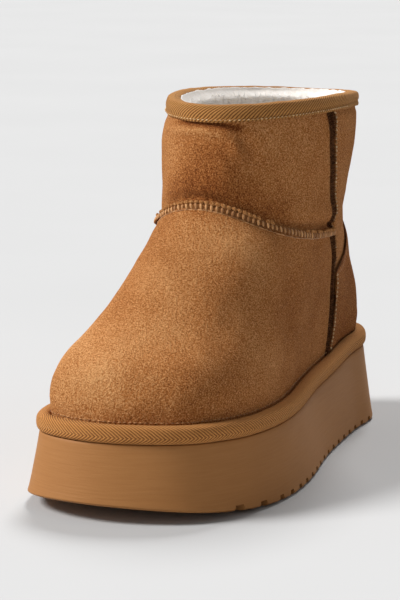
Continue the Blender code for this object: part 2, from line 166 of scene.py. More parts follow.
def smoothPath(spots, spacing, closed=False):  # even points in metres along a curve through spots in mm
    curve = bpy.data.curves.new("path", "CURVE")
    curve.dimensions = "3D"
    spline = curve.splines.new("BEZIER")
    spline.bezier_points.add(len(spots) - 1)
    for point, spot in zip(spline.bezier_points, spots):
        point.co = Vector(spot) * mm
        point.handle_left_type = point.handle_right_type = "AUTO"
    spline.use_cyclic_u = closed
    spline.resolution_u = 24
    holder = bpy.data.objects.new("path", curve)
    scene.collection.objects.link(holder)
    bpy.context.view_layer.update()
    line = [v.co.copy() for v in holder.to_mesh().vertices]
    bpy.data.objects.remove(holder)
    if closed:
        line.append(line[0].copy())
    lengths = [0.0]
    for a, b in zip(line, line[1:]):
        lengths.append(lengths[-1] + (b - a).length)
    count = max(2, round(lengths[-1] / (spacing * mm)))
    found = []
    for step in range(count if closed else count + 1):
        wanted = lengths[-1] * step / count
        index = min(bisect.bisect_right(lengths, wanted) - 1, len(line) - 2)
        share = (wanted - lengths[index]) / max(lengths[index + 1] - lengths[index], 1e-9)
        found.append(line[index].lerp(line[index + 1], share))
    return found


def pathDistance(points, path):  # distance of each of many points to a path, with the nearest place along it
    best = np.full(len(points), 1e9)
    along = np.zeros(len(points))
    ends = np.array([p[:] for p in path])
    for index in range(len(ends) - 1):
        a, b = ends[index], ends[index + 1]
        span = b - a
        share = np.clip(((points - a) @ span) / max(span @ span, 1e-12), 0, 1)
        gap = np.linalg.norm(points - (a + share[:, None] * span), axis=1)
        nearer = gap < best
        best[nearer] = gap[nearer]
        along[nearer] = (index + share[nearer]) / (len(ends) - 1)
    return best, along


def pushed(bm, amounts):  # moves each vertex along its normal
    bm.normal_update()
    moves = [v.normal * float(a) for v, a in zip(bm.verts, amounts)]
    for vert, move in zip(bm.verts, moves):
        vert.co += move


def noted(bm, name, values):  # a number kept at each vertex, for the material to read
    layer = bm.verts.layers.float.new(name)
    for vert, value in zip(bm.verts, values):
        vert[layer] = float(value)


def places(bm):
    return np.array([v.co[:] for v in bm.verts])


def treeOf(bm):
    return BVHTree.FromBMesh(bm)


def seated(tree, point, lift):  # a point put on a surface, with the surface's outward direction there
    spot, normal, _, _ = tree.find_nearest(point)
    return spot + normal * lift, normal


def along(path, index, closed=False):  # direction of a path at one of its points
    last = len(path) - 1
    if closed:
        return (path[(index + 1) % len(path)] - path[index - 1]).normalized()
    return (path[min(index + 1, last)] - path[max(index - 1, 0)]).normalized()


def facing(tangent, normal, spot, scale=(1, 1, 1)):  # x along, y across, z out of the surface
    across = normal.cross(tangent).normalized()
    out = tangent.cross(across).normalized()
    turn = Matrix((tangent, across, out)).transposed().to_4x4()
    return Matrix.Translation(spot) @ turn @ Matrix.Diagonal((*scale, 1))


def joinedCopies(name, template, matrices, material, shades, layer="shade"):  # many small copies in one mesh
    verts = np.array([(*v.co, 1.0) for v in template.verts])
    faces = [[v.index for v in f.verts] for f in template.faces]
    stack = np.array([[list(row) for row in m] for m in matrices])
    coords = np.einsum("mij,vj->mvi", stack, verts)[:, :, :3].reshape(-1, 3)
    count = len(verts)
    mesh = bpy.data.meshes.new(name)
    copies = [[i + count * k for i in face] for k in range(len(matrices)) for face in faces]
    mesh.from_pydata(coords.tolist(), [], copies)
    shade = mesh.attributes.new(layer, "FLOAT", "POINT")
    shade.data.foreach_set("value", np.repeat(np.array(shades, dtype=np.float32), count))
    template.free()
    settlePiece(name, mesh, material)


# materials

def suedeMaterial(name, lit, mid, deep):
    # sheepskin suede, brushed: short dense nap that stands in tiny tufts, pale on its tips and deep
    # between them, with cloudy strokes where hands have laid it; no gloss, a faint velvet edge
    material, tree, shader, place = newMaterial(name, roughness=0.95, sheen=0.2, sheenTint="E8B67C",
                                                sheenRoughness=0.4, specular=0.1)
    tufts = addNode(tree, "TexNoise",
                    {"Vector": place, "Scale": 1500.0, "Detail": 3.0, "Roughness": 0.65})  # tufts of 0.7 mm
    fibres = addNode(tree, "TexNoise", {"Vector": place, "Scale": 3200.0, "Detail": 2.0})  # 0.3 mm
    pebble = addNode(tree, "TexVoronoi", {"Vector": place, "Scale": 620.0, "Randomness": 1.0},
                     feature="SMOOTH_F1")  # the skin's own grain under the nap, 1.6 mm
    cloud = addNode(tree, "TexNoise",
                    {"Vector": place, "Scale": 34.0, "Detail": 3.0, "Roughness": 0.55})  # brushed patches of 30 mm
    height = tufts
    for part, share in ((fibres, 0.35), (pebble, -0.45)):
        height = addNode(tree, "Math", {0: part, 1: share, 2: height}, operation="MULTIPLY_ADD")
    lay = addNode(tree, "Attribute", {}, attribute_name="lay").outputs["Fac"]  # shift of the tone: painted light and shade in patches on the upper, the counter's darker tone, and each raw hair's own tone
    tone = addNode(tree, "Math", {0: lay, 1: 0.39}, operation="SUBTRACT")
    for part, share in ((tufts, 1.5), (cloud, 0.3)):
        tone = addNode(tree, "Math", {0: part, 1: share, 2: tone}, operation="MULTIPLY_ADD")
    colour = addNode(tree, "ValToRGB", {"Fac": tone}, stops=((0.22, deep), (0.5, mid), (0.8, lit)))
    raw = addNode(tree, "Attribute", {}, attribute_name="raw").outputs["Fac"]  # dark on a cut edge
    colour = addNode(tree, "Mix", {0: raw, 6: colour, 7: hexColour("4A2410")}, data_type="RGBA")
    finishSurface(tree, shader, colour.outputs[2], height, strength=1.0, depth=1.3 * mm)
    return material


def tapeMaterial(name, lit, mid, deep, pitch, slope, turnAt=None):
    # woven cotton tape: raised diagonal ribs of thick yarn with shadow between them, and in the herringbone
    # the ribs turn back at the tape's middle; dull, with a faint fuzz
    material, tree, shader, place = newMaterial(name, roughness=0.85, sheen=0.2, sheenTint="E6BE84", specular=0.2)
    weave = addNode(tree, "UVMap", {}, uv_map="weave")
    weave = addNode(tree, "SeparateXYZ", {0: weave}).outputs  # round the shoe and across the tape, in mm
    wander = addNode(tree, "TexNoise", {"Vector": place, "Scale": 420.0, "Detail": 2.0})  # uneven yarn, 2.4 mm
    fuzz = addNode(tree, "TexNoise", {"Vector": place, "Scale": 1300.0, "Detail": 2.0})  # 0.8 mm
    lean = weave[1]
    if turnAt:
        lean = addNode(tree, "Math", {0: lean, 1: turnAt}, operation="SUBTRACT")
        lean = addNode(tree, "Math", {0: lean}, operation="ABSOLUTE")
    phase = weave[0]
    for part, share in ((lean, slope), (wander, 0.5)):
        phase = addNode(tree, "Math", {0: part, 1: share, 2: phase}, operation="MULTIPLY_ADD")
    waves = []
    for way, length in ((phase, pitch), (weave[1], 0.62)):  # the ribs, and the yarns across them every 0.62 mm
        turns = addNode(tree, "Math", {0: way, 1: math.tau / length}, operation="MULTIPLY")
        waves.append(addNode(tree, "Math", {0: turns}, operation="SINE"))
    rib = addNode(tree, "Math", {0: waves[0], 1: 0.5, 2: 0.5}, operation="MULTIPLY_ADD")
    rib = addNode(tree, "Math", {0: rib, 1: 0.7}, operation="POWER")  # broad tops, narrow gaps
    weft = addNode(tree, "Math", {0: waves[1], 1: 0.12, 2: rib}, operation="MULTIPLY_ADD")
    tone = addNode(tree, "Math", {0: weft, 1: 0.62}, operation="MULTIPLY")
    tone = addNode(tree, "Math", {0: fuzz, 1: 0.4, 2: tone}, operation="MULTIPLY_ADD")
    colour = addNode(tree, "ValToRGB", {"Fac": tone}, stops=((0.12, deep), (0.45, mid), (0.85, lit)))
    height = addNode(tree, "Math", {0: fuzz, 1: 0.3, 2: weft}, operation="MULTIPLY_ADD")
    finishSurface(tree, shader, colour.outputs[0], height, strength=0.7, depth=0.6 * mm)
    return material


def foamMaterial():
    # EVA foam, compression moulded: matt and even, with faint level lines from the mould and a fine skin
    material, tree, shader, place = newMaterial("moulded_eva_foam", roughness=0.62, sheen=0.08,
                                                sheenTint="D9A970", specular=0.32)
    lines = addNode(tree, "Mapping", {"Vector": place, "Scale": (60, 60, 1100)})  # 0.9 mm apart, 16 mm long
    level = addNode(tree, "TexNoise", {"Vector": lines, "Scale": 1.0, "Detail": 3.0})
    skin = addNode(tree, "TexNoise", {"Vector": place, "Scale": 1500.0, "Detail": 3.0})  # 0.7 mm
    cloud = addNode(tree, "TexNoise", {"Vector": place, "Scale": 22.0, "Detail": 3.0})  # 45 mm
    tone = addNode(tree, "Math", {0: level, 1: 0.5}, operation="MULTIPLY")
    for part, share in ((cloud, 0.35), (skin, 0.15)):
        tone = addNode(tree, "Math", {0: part, 1: share, 2: tone}, operation="MULTIPLY_ADD")
    colour = addNode(tree, "ValToRGB", {"Fac": tone},
                     stops=((0.3, "9C6734"), (0.5, "A16C38"), (0.7, "A6713D")))
    height = addNode(tree, "Math", {0: skin, 1: 0.35, 2: level}, operation="MULTIPLY_ADD")
    finishSurface(tree, shader, colour.outputs[0], height, strength=0.3, depth=0.4 * mm)
    return material


def woolMaterial(name, lit, deep):
    # sheep's wool, combed and dyed off-white: soft curled locks, light passes into them, so shadows stay warm
    material, tree, shader, place = newMaterial(name, roughness=0.9, sheen=0.4, specular=0.15)
    shader.inputs["Subsurface Weight"].default_value = 0.4
    shader.inputs["Subsurface Scale"].default_value = 3 * mm
    shader.inputs["Subsurface Radius"].default_value = (1.0, 0.9, 0.8)
    locks = addNode(tree, "TexNoise", {"Vector": place, "Scale": 330.0, "Detail": 5.0, "Roughness": 0.7,
                                       "Distortion": 1.5})  # locks of 3 mm
    shade = addNode(tree, "Attribute", {}, attribute_name="shade").outputs["Fac"]
    tone = addNode(tree, "Math", {0: shade, 1: 0.5}, operation="SUBTRACT")
    tone = addNode(tree, "Math", {0: tone, 1: 0.4, 2: locks}, operation="MULTIPLY_ADD")
    colour = addNode(tree, "ValToRGB", {"Fac": tone}, stops=((0.1, deep), (0.45, lit)))
    finishSurface(tree, shader, colour.outputs[0], locks, strength=0.4, depth=1.5 * mm)
    return material


def threadMaterial(name, lit, deep):
    # bonded polyester thread: smooth twisted plies with a low gleam
    material, tree, shader, place = newMaterial(name, roughness=0.6, sheen=0.2, specular=0.35)
    plies = addNode(tree, "TexNoise", {"Vector": place, "Scale": 2400.0, "Detail": 2.0})  # 0.4 mm
    shade = addNode(tree, "Attribute", {}, attribute_name="shade").outputs["Fac"]
    tone = addNode(tree, "Math", {0: shade, 1: 0.4}, operation="MULTIPLY")
    tone = addNode(tree, "Math", {0: plies, 1: 0.6, 2: tone}, operation="MULTIPLY_ADD")
    colour = addNode(tree, "ValToRGB", {"Fac": tone}, stops=((0.3, deep), (0.65, lit)))
    finishSurface(tree, shader, colour.outputs[0], plies, strength=0.4, depth=0.3 * mm)
    return material


def paperMaterial():
    # matt grey photographic paper
    material, tree, shader, place = newMaterial("matt_studio_paper", roughness=0.9, specular=0.1)
    fibre = addNode(tree, "TexNoise", {"Vector": place, "Scale": 4.0, "Detail": 2.0})
    colour = addNode(tree, "ValToRGB", {"Fac": fibre}, stops=((0.3, "B8B8B8"), (0.7, "BABABA")))
    tree.links.new(colour.outputs[0], shader.inputs["Base Color"])
    return material


suede = suedeMaterial("brushed_sheepskin_suede", "E6AC72", "B8733B", "713612")
suedeEdge = suedeMaterial("cut_suede_edge", "E2AC74", "BA7C45", "74401C")
rawHide = suedeMaterial("raw_hide_fuzz", "A06A42", "5C3118", "34190B")
foldedHide = suedeMaterial("folded_hide_edge", "AC7040", "8C5A30", "623A1E")
bindingTape = tapeMaterial("cotton_twill_binding", "C0884A", "96622F", "4A280E", pitch=2.0, slope=-1.1)
bandTape = tapeMaterial("cotton_herringbone_tape", "CE8F4E", "A96B34", "66391A", pitch=1.9, slope=1.15, turnAt=3.4)
foam = foamMaterial()
wool = woolMaterial("combed_sheep_wool", "ECE6E0", "DED5CB")
creamThread = threadMaterial("cream_polyester_thread", "E2C08E", "A97A46")
tanThread = threadMaterial("tan_polyester_thread", "CE975E", "94602F")
print("materials made")


# places on the shoe, in millimetres

outerSeam = ((28.5, 55.6, 45.2), (29.9, 56.6, 58.0), (30.0, 59.9, 72.2), (31.0, 58.5, 90.8),
             (35.7, 46.5, 110.8), (38.4, 40.1, 122.9), (40.2, 36.8, 136.1), (42.6, 32.3, 153.3),
             (41.4, 28.2, 172.2))
innerSeam = ((-27.5, 58.0, 45.4), (-28.8, 58.9, 58.1), (-28.9, 61.8, 72.2), (-29.4, 59.6, 90.9),
             (-34.4, 46.6, 110.8), (-37.9, 40.1, 122.9), (-40.1, 36.8, 136.1), (-42.6, 32.3, 153.3),
             (-41.4, 28.2, 172.2))
instepSeam = ((35.7, 46.5, 110.8), (38.5, 26.1, 112.6), (38.7, 7.4, 114.8), (35.9, -8.3, 118.1),
              (30.6, -19.7, 121.6), (23.7, -27.3, 125.4), (16.1, -32.4, 129.1), (8.1, -35.7, 131.5),
              (-0.1, -36.8, 132.5), (-8.3, -35.7, 131.5), (-16.3, -32.5, 129.1), (-24.0, -27.4, 125.4),
              (-30.7, -19.8, 121.6), (-35.9, -8.3, 118.1), (-38.5, 7.3, 114.8), (-37.6, 26.0, 112.6),
              (-34.4, 46.6, 110.8))
counterEdge = ((31.4, 60.2, 87.0), (29.1, 72.9, 88.9), (26.5, 84.8, 91.6), (24.1, 94.2, 98.1),
               (20.2, 99.4, 107.1), (13.9, 103.2, 114.3), (5.8, 105.3, 119.7), (-0.1, 105.8, 121.1),
               (-6.0, 105.3, 119.7), (-14.2, 103.2, 114.3), (-20.7, 99.4, 107.1), (-25.1, 94.0, 98.2),
               (-27.9, 85.1, 91.6), (-29.5, 73.9, 89.0), (-30.0, 61.2, 87.0))
soleTopAt = ((-136, 36.0), (-120, 35.46), (-104, 34.92), (-90, 34.38), (-75, 33.87), (-40, 33.54), (-5, 33.81),
             (15, 34.44), (34, 35.35), (52, 36.42), (68, 37.74), (84, 39.28), (100, 40.47), (118, 40.72),
             (136, 40.5))  # height of the sole's top face along the shoe
collarAt = ((-28.8, 178.8), (6.0, 179.9), (23, 180.0), (40, 179.8), (57, 179.3), (73.5, 178.4), (90, 177.3),
            (108.5, 175.8))  # height of the collar's edge along the shoe, arched up at the sides


def heightAt(table, y):  # both in mm
    return float(np.interp(y, *zip(*table)))


# upper: the CAD node's outer face, made fine, with the creases pressed in

def isRim(face):  # a level face at the collar or at the lower edge
    z = face.calc_center_median().z / mm
    return (face.normal.z > 0.9 and z > 168) or (face.normal.z < -0.9 and z < 45)


def shellSides(bm):  # splits the upper's mesh at its rims, and returns the outer and the inner faces
    bm.normal_update()
    bmesh.ops.delete(bm, geom=[f for f in bm.faces if isRim(f)], context="FACES_ONLY")
    bm.faces.ensure_lookup_table()
    groups, seen = [], set()
    for start in bm.faces:
        if start in seen:
            continue
        group, queue = [], [start]
        seen.add(start)
        while queue:
            face = queue.pop()
            group.append(face)
            for edge in face.edges:
                for other in edge.link_faces:
                    if other not in seen:
                        seen.add(other)
                        queue.append(other)
        groups.append(group)
    groups.sort(key=lambda g: max(v.co.y for f in g for v in f.verts) - min(v.co.y for f in g for v in f.verts))
    return groups[-1], groups[:-1]


def keepOnly(bm, kept):
    kept = set(kept)
    bmesh.ops.delete(bm, geom=[f for f in bm.faces if f not in kept], context="FACES")


upperSizes = {
    "wall": 3.2,
    "fineness": 3,
    # soft ridges and troughs, listed one by one: each has its path, width and height
    "forms": [
        ([(-43, 30, 140), (-41, 8, 141), (-35, -12, 143), (-23, -24, 145), (-8, -30, 147), (6, -31, 150)],
         17.0, 1.4),  # the shaft swells over the seam, on the inner side and in front
        ([(-42, 12, 169), (-36, -8, 167.5), (-30, -16, 167.5), (-20, -25, 167.5), (-11, -29, 167.5),
          (1, -31, 167.5), (8, -29, 166.5), (13, -27, 162.5), (16, -26, 156)],
         2.7, 2.1),  # a fold under the binding that turns down and fades
        ([(-42, 10, 165), (-38, -2, 163), (-30, -16, 161.5), (-20, -25, 161), (-8, -29, 161),
          (4, -31, 160.5), (11, -28, 157)],
         7.0, 1.5),  # below it the hide stays puffed and runs out slowly
        ([(16, -27, 168), (21, -25, 161), (22, -25, 150), (18, -28, 140)], 4.5, -1.1),
        ([(-34, -10, 170), (-20, -25, 170.5), (0, -30, 171), (20, -25, 171), (36, -6, 172),
          (42, 20, 173), (41, 50, 173), (32, 84, 171), (0, 108, 169.5), (-32, 84, 171), (-41, 50, 173),
          (-42, 20, 173), (-34, -10, 170)],
         1.7, -0.9),  # drawn in by the binding's stitches
        ([(-20, -32, 121), (-6, -38, 126), (4, -38, 127), (17, -34, 123), (25, -30, 118),
          (31, -25, 112), (34, -22, 105)],
         7.0, 0.9),  # the vamp rounds over before it dips into the seam
        # the dip under it at the side, and the hollows and ridge down the vamp's sides
        ([(38, 24, 107), (38.5, 8, 109), (36, -6, 112)], 3.5, -0.8),
        ([(38, -8, 108), (39, -15, 100), (41, -19, 87), (45, -27, 73)], 8.0, -1.0),
        ([(29, -26, 110), (33, -33, 98), (37, -40, 86), (41, -50, 73)], 7.0, 0.8),
        ([(-36, -22, 104), (-39, -36, 92), (-41, -56, 80), (-41, -78, 68)], 13.0, -1.1),
        # the back is full, the heel's side is lean, and the ankle folds a little
        ([(0, 108, 100), (0, 105, 125), (0, 104, 145)], 16.0, 0.5),
        ([(26, 94, 74), (30, 84, 74), (32, 74, 74)], 18.0, -1.7),
        ([(26, 84, 128), (30, 70, 118), (32, 60, 112)], 5.0, -0.5),
        ([(-26, 84, 127), (-30, 70, 118), (-32, 58, 112)], 5.0, -0.5),
        ([(34, 50, 127), (37, 34, 122), (38, 20, 121)], 6.0, 0.5),
    ],
    # painted light and shade on the upper's suede: path, width and shift of the tone to the light or the dark
    "paintedLightAndShade": [
        ([(4, -33, 140), (8, -32, 155)], 14.0, -0.12),
        ([(-14, -30, 137), (4, -34, 140), (22, -26, 132), (32, -14, 128)], 8.0, -0.1),
        ([(14, -45, 117), (26, -36, 111)], 12.0, 0.06),
        ([(44, -10, 80), (44, 20, 85)], 20.0, -0.08),
        ([(-20, -112, 62), (-36, -95, 66)], 15.0, 0.14),
        ([(-34, -10, 171), (-20, -25, 171), (-8, -29, 171), (6, -30, 170.5), (16, -26, 169)],
         1.5, -0.3),
        ([(-36, -8, 167.5), (-20, -25, 167.5), (-11, -29, 167.5), (1, -31, 167), (8, -29, 165)],
         1.8, 0.14),
        ([(6, -50, 112), (0, -75, 98), (-6, -98, 80), (-8, -112, 64)], 26.0, 0.07),
    ],
    # over the instep seam the shaft is pulled in, puckers at each stitch, and swells above that
    "tuck": {"width": 2.4, "height": -1.7, "lift": 3.8, "pitch": 7.5, "pucker": 0.2, "puckerAt": 2.5,
             "puckerWidth": 3.0, "swell": 0.7, "swellAt": 8.0, "swellWidth": 5.0},
    "seamFloor": {"halfWidth": 2.2, "rise": 1.5},  # the side seams' raw edges fill their grooves
    "wave": 0.45, "grain": 0.1,
}


def softRows(spots, rows):  # the sum of soft ridges and troughs along their paths
    total = np.zeros(len(spots))
    for path, width, height in rows:
        gap, _ = pathDistance(spots, [p / mm for p in smoothPath(path, 3)])
        total += height * np.exp(-(gap / width) ** 2)
    return total


def formed(spots, sizes):  # the forms, and low waves of the hide, 22 mm long and 8 mm long
    swell = [noise.noise(Vector(s) * 0.045) for s in spots]
    ripple = [noise.noise(Vector(s) * 0.12 + Vector((9, 3, 1))) for s in spots]
    return softRows(spots, sizes["forms"]) + (np.array(swell) + 0.5 * np.array(ripple)) * sizes["wave"]


# the side seams: half the raw strip's width and how far it sits ahead of the seam, both by height
sideSizes = {
    "hairs": 3800, "hair": (1.35, 0.3, 0.5),  # length, thickness and curl
    "stitch": (1.45, 1.0, 0.9, 0.2), "stitchPitch": 2.1, "stitchGap": 0.6,  # length, width, height and bend
    "halfWidth": ((45, 2.6), (70, 3.2), (107, 3.1), (116, 3.2), (150, 3.5), (168, 3.0)),
    "ahead": ((45, 0.8), (60, 0.2), (90, 0.4), (104, 2.2), (116, 3.8), (150, 4.4), (160, 3.8), (168, 2.2)),
}


def sideAt(key, z):  # a side seam's measure at a height, both in mm
    return np.interp(z, *zip(*sideSizes[key]))


def stripDark(spots, line):  # 1 on the raw strip that runs along a side seam, 0 off it
    strip = [p / mm - Vector((0, sideAt("ahead", p.z / mm), 0)) for p in smoothPath(line, 3)]
    gap, _ = pathDistance(spots, strip)
    return np.clip((sideAt("halfWidth", spots[:, 2]) - gap) / 0.6, 0, 1)


def makeUpper(sizes):
    bm = copiedNode("upper")
    outer, _ = shellSides(bm)
    keepOnly(bm, outer)
    bm = refined(bm, sizes["fineness"])
    spots = places(bm) / mm
    push = formed(spots, sizes)
    tuck = sizes["tuck"]
    path = [p / mm + Vector((0, 0, tuck["lift"])) for p in smoothPath(instepSeam, 3)]
    gap, share = pathDistance(spots, path)
    push += tuck["height"] * np.exp(-(gap / tuck["width"]) ** 2)
    high, _ = pathDistance(spots, [p + Vector((0, 0, tuck["swellAt"])) for p in path])
    push += tuck["swell"] * np.exp(-(high / tuck["swellWidth"]) ** 2)
    seamLength = sum((b - a).length for a, b in zip(path, path[1:]))
    wander = np.array([noise.noise(Vector(s) * 0.07) for s in spots]) * 3
    ripple = np.sin((share * seamLength / tuck["pitch"] + wander) * math.tau)
    push += tuck["pucker"] * ripple * np.exp(-((gap - tuck["puckerAt"]) / tuck["puckerWidth"]) ** 2)
    push += np.array([noise.noise(Vector(s) * 0.9) for s in spots]) * sizes["grain"]
    pushed(bm, push * mm)
    dark = np.zeros(len(spots))
    floor = sizes["seamFloor"]
    for line, out in ((outerSeam, Vector((1, 0.15, 0.05))), (innerSeam, Vector((-1, 0.15, 0.05)))):
        gap, _ = pathDistance(spots, [p / mm for p in smoothPath(line, 3)])
        dark = np.maximum(dark, stripDark(spots, line))
        for vert, rise in zip(bm.verts, np.clip((floor["halfWidth"] - gap) / 0.6, 0, 1)):
            vert.co += out * float(rise) * floor["rise"] * mm
    noted(bm, "raw", dark)
    # painted light and shade: the suede's tone pushed lighter or darker along the listed paths
    noted(bm, "lay", softRows(spots, sizes["paintedLightAndShade"]))
    return bm


def lipped(bm, depth):  # turns a sheet's borders inward, so that it ends in the thickness of its wall
    border = [e for e in bm.edges if len(e.link_faces) == 1]
    bm.normal_update()
    normals = {v: v.normal.copy() for e in border for v in e.verts}
    made = bmesh.ops.extrude_edge_only(bm, edges=border)["geom"]
    fresh = [item for item in made if isinstance(item, bmesh.types.BMVert)]
    for vert in fresh:
        for edge in vert.link_edges:
            old = edge.other_vert(vert)
            if old in normals and (old.co - vert.co).length < 1e-7:
                vert.co -= normals[old] * depth * mm
                break


bm = makeUpper(upperSizes)
upperTree = treeOf(bm)
lipped(bm, upperSizes["wall"])
finishPiece("suede_upper", bm, suede, replaces=("upper",))


# pieces that run round the shoe, with a weave that follows them

def weaveMap(bm, centre, cutAngle, across):  # u is the way round in mm, v comes from the piece's own rule
    spots = places(bm) / mm
    angles = np.arctan2(spots[:, 1] - centre[1], spots[:, 0] - centre[0])
    reach = np.hypot(spots[:, 0] - centre[0], spots[:, 1] - centre[1])
    bins = np.floor((angles + math.pi) / math.tau * 180).astype(int) % 180  # 2 degrees each
    outline = []
    for index in range(180):
        here = np.where(bins == index)[0]
        if len(here):
            far = here[np.argmax(reach[here])]
            outline.append((angles[far], reach[far]))
    outline.sort()
    keys = np.array([a for a, _ in outline])
    radii = np.array([r for _, r in outline])
    keys = np.concatenate((keys - math.tau, keys, keys + math.tau))
    radii = np.concatenate((radii, radii, radii))
    fineAngles = np.linspace(cutAngle, cutAngle + math.tau, 1441)  # every quarter of a degree
    fineRadii = np.interp(fineAngles, keys, radii)
    x, y = fineRadii * np.cos(fineAngles), fineRadii * np.sin(fineAngles)
    lengths = np.concatenate(([0], np.cumsum(np.hypot(np.diff(x), np.diff(y)))))
    layer = bm.loops.layers.uv.new("weave")
    turn = (angles - cutAngle) % math.tau
    inward = np.interp(angles, keys, radii) - reach
    rounds = np.interp(cutAngle + turn, fineAngles, lengths)
    for face in bm.faces:
        starts = [v.index for v in face.verts]
        wraps = max(turn[i] for i in starts) - min(turn[i] for i in starts) > math.pi
        for loop in face.loops:
            i = loop.vert.index
            u = rounds[i] + (lengths[-1] if wraps and turn[i] < math.pi else 0)
            loop[layer].uv = (u, across(spots[i], inward[i]))


bandSizes = {"middle": 4.25, "fineness": 3, "ripple": 0.12, "jointAt": (-44, 22)}


def makeBand(sizes):
    bm = refined(copiedNode("covered_band"), sizes["fineness"])
    bm.verts.index_update()
    spots = places(bm) / mm
    pushed(bm, [noise.noise(Vector(s) * 0.12) * sizes["ripple"] * mm for s in spots])

    def across(spot, inward):
        h = spot[2] - heightAt(soleTopAt, spot[1]) - sizes["middle"]
        return sizes["middle"] + h + math.copysign(max(0.0, inward), h)

    weaveMap(bm, (0, 0), math.atan2(sizes["jointAt"][1], sizes["jointAt"][0]), across)
    return bm


bm = makeBand(bandSizes)
finishPiece("herringbone_band", bm, bandTape, replaces=("covered_band",))

bindingSizes = {
    "outside": 8.0, "fineness": 3, "leg": ((-30, 6.9), (30, 6.2), (108, 5.4)), "stitched": 1.1,
    "drawn": -0.4, "puff": 0.35, "puffAt": 2.2,  # drawn in at the stitches, puffed below the rim
    "weaveTop": 10.0, "innerLeg": 5.5,
}


def makeBinding(sizes):
    bm = refined(copiedNode("collar_binding"), sizes["fineness"])
    bm.verts.index_update()
    spots = places(bm) / mm
    push = []
    for s in spots:
        under = heightAt(collarAt, s[1]) - s[2]
        soft = noise.noise(Vector(s) * 0.08) * 0.3 + noise.noise(Vector(s) * 0.25) * 0.15  # waves of 12 and 4 mm
        drawn = sizes["drawn"] * math.exp(-(under - heightAt(sizes["leg"], s[1]) + sizes["stitched"]) ** 2)
        puffed = sizes["puff"] * math.exp(-((under - sizes["puffAt"]) / sizes["puffAt"]) ** 2)
        push.append((soft + drawn + puffed) * mm)
    pushed(bm, push)
    for vert, s in zip(bm.verts, spots):  # the tape reaches less far down at the back
        under = heightAt(collarAt, s[1]) - s[2]
        if under > 0:
            vert.co.z += under * (1 - heightAt(sizes["leg"], s[1]) / sizes["outside"]) * mm

    def across(spot, inward):
        h = spot[2] - heightAt(collarAt, spot[1])
        return sizes["weaveTop"] + (inward - h if inward > sizes["innerLeg"] else h + max(0.0, inward))

    weaveMap(bm, (0, 40), math.pi / 2, across)  # its ends meet at the back
    return bm


bm = makeBinding(bindingSizes)
bindingTree = treeOf(bm)
finishPiece("twill_binding", bm, bindingTape, replaces=("collar_binding",))


# heel counter: the CAD node made fine, with its cut edge darkened

counterSizes = {"fineness": 2, "cutEdge": 1.0, "lay": -0.14}  # the whole counter is a tone darker than the upper


def makeCounter(sizes):
    bm = refined(copiedNode("heel_counter"), sizes["fineness"])
    spots = places(bm) / mm
    gap, _ = pathDistance(spots, [p / mm for p in smoothPath(counterEdge, 3)])
    pushed(bm, formed(spots, upperSizes) * mm)
    dark = np.clip((sizes["cutEdge"] - gap) / 0.7, 0, 1)
    for line in (outerSeam, innerSeam):
        dark = np.maximum(dark, stripDark(spots, line))
    noted(bm, "raw", dark)
    noted(bm, "lay", np.full(len(spots), sizes["lay"]))
    return bm


bm = makeCounter(counterSizes)
counterTree = treeOf(bm)
finishPiece("suede_heel_counter", bm, suede, replaces=("heel_counter",))


# instep seam: a folded edge under slanting whip stitches

seamSizes = {
    "pitch": 2.6, "fineness": 2, "rough": 0.2, "sink": 0.7,
    # each stitch: its length, width and height, how far it lies over the seam's line and out of it
    "roll": {"size": (2.9, 2.0, 1.7), "over": 1.65, "lift": 0.25},  # the upper edge, drawn into beads
    "bar": {"size": (3.3, 1.35, 0.95), "bend": 0.35, "over": -0.35, "lift": 0.1, "slant": 8},
    "foot": {"size": (2.8, 0.65, 0.6), "over": -2.1, "lift": 0.15},
}


def makeInstepCore(sizes):
    bm = refined(copiedNode("instep_seam"), sizes["fineness"])
    spots = places(bm) / mm
    pushed(bm, [(noise.noise(Vector(s) * 0.5) * sizes["rough"] - sizes["sink"]) * mm for s in spots])
    return bm


bm = makeInstepCore(seamSizes)
coreTree = treeOf(bm)
coreSpots = places(bm)
finishPiece("folded_instep_edge", bm, foldedHide, replaces=("instep_seam",))


def stitchTemplate(length, width, height, bend=0.0):  # a small rounded stitch, bent down towards its ends
    bm = bmesh.new()
    bmesh.ops.create_uvsphere(bm, u_segments=8, v_segments=6, radius=0.5,
                              matrix=Matrix.Rotation(math.pi / 2, 4, "Y"))
    bmesh.ops.scale(bm, vec=(length * mm, width * mm, height * mm), verts=bm.verts)
    for vert in bm.verts:
        share = vert.co.x / (length * mm / 2)
        vert.co.z -= bend * mm * share * share
    return bm


def ridgeNormal(spots, point, tangent):  # outward direction at a point under the ridge, from the ridge round it
    near = spots[np.linalg.norm(spots - np.array(point[:]), axis=1) < 4.5 * mm]
    out = Vector(near.mean(axis=0)) - point
    return (out - tangent * out.dot(tangent)).normalized()


def dropped(trees, point, normal):  # the outermost surface under a point
    found = [tree.ray_cast(point + normal * 4 * mm, -normal, 8 * mm) for tree in trees]
    spots = [hit for hit, _, _, _ in found if hit is not None]
    return max(spots, key=lambda hit: hit.dot(normal)) if spots else point


